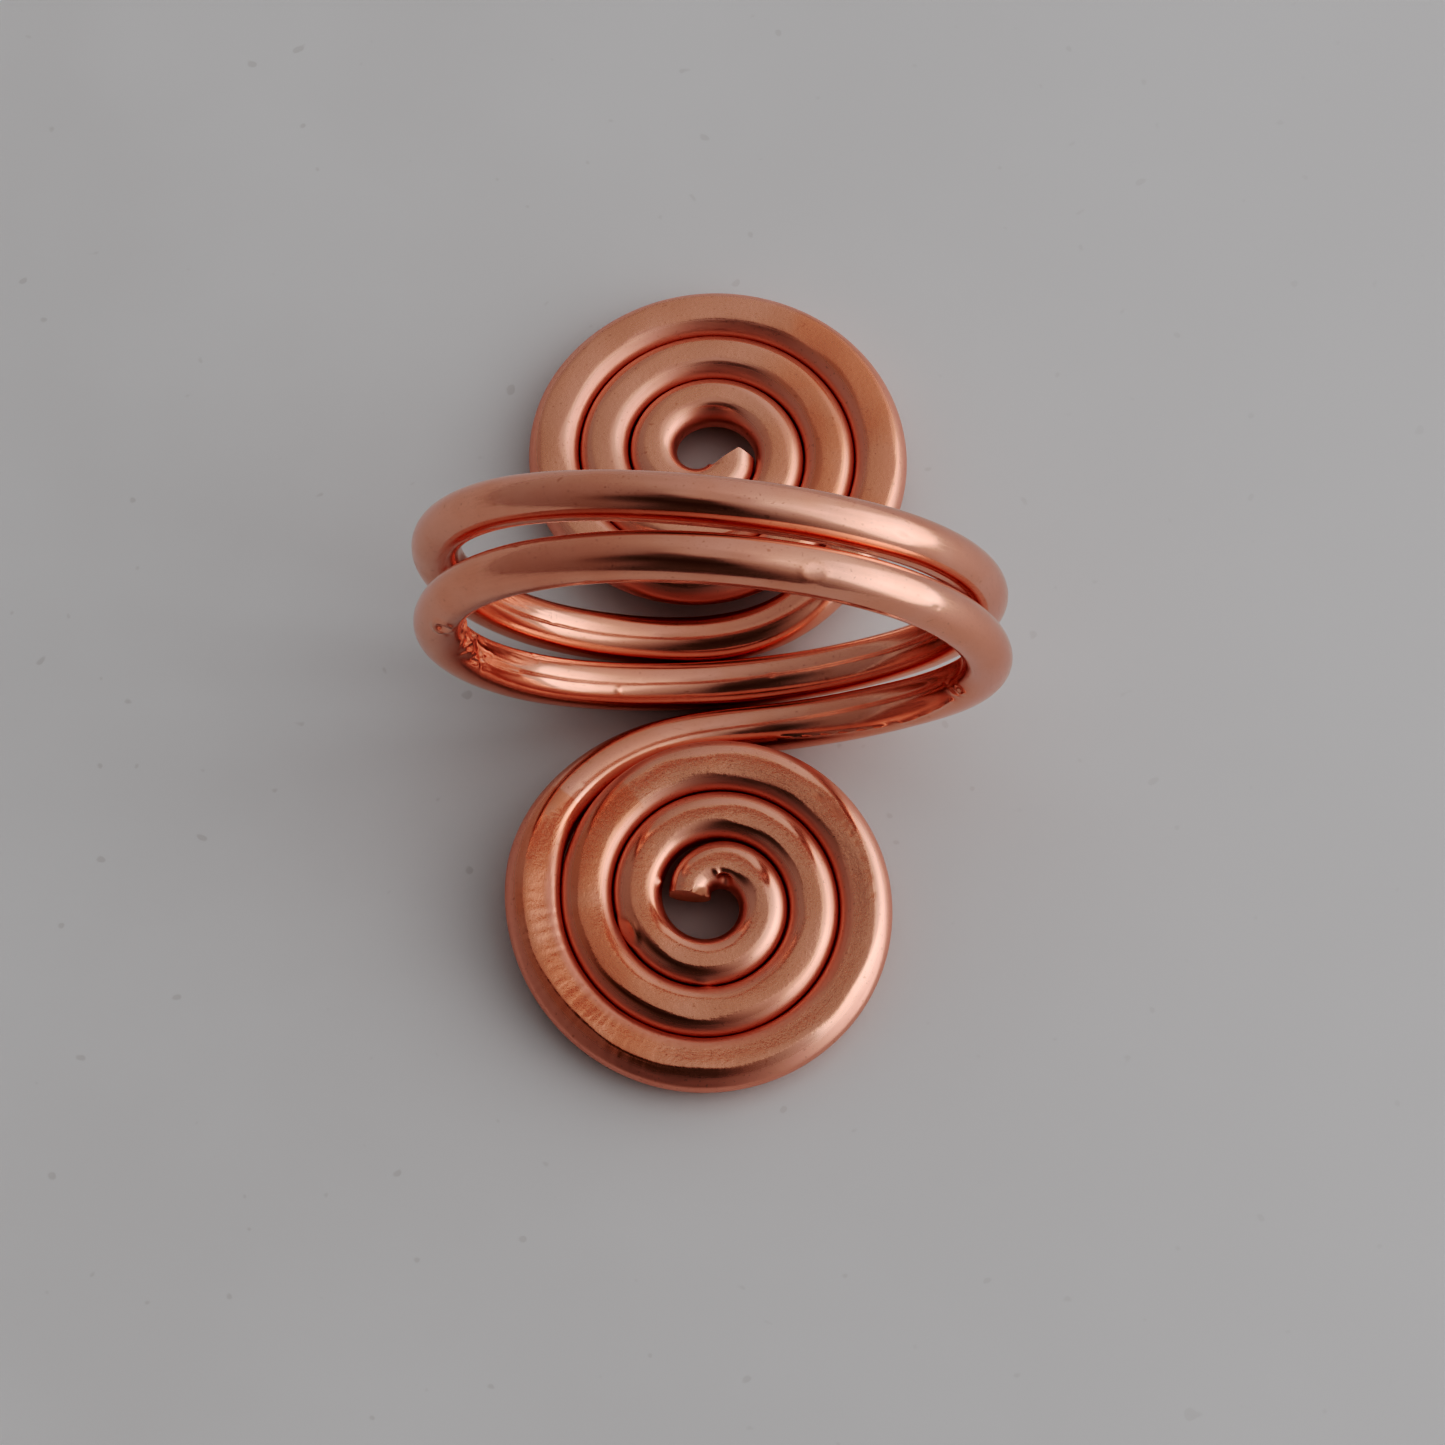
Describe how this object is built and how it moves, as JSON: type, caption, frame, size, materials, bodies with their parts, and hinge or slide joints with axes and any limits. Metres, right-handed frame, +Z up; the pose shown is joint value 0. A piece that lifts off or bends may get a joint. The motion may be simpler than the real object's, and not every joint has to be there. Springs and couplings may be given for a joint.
{
  "type": "finger ring",
  "caption": "Bare copper finger ring bent from one length of round wire, with a flat planished spiral coil at each wire end and open finger loops standing between the coils.",
  "frame": {"origin": "middle of the finger opening: the two loops' common centre, halfway along the band", "axes": "+X across the finger, +Y along the finger from the near coil to the far coil, +Z up, away from the table that the coils rest on"},
  "size_m": [0.0215, 0.0324, 0.0215],
  "materials": {
    "copper": "bare copper, bright drawn wire with satin planished flats on the coils"
  },
  "bodies": {
    "root": {"copper_wire": "copper"}
  },
  "joints": []
}
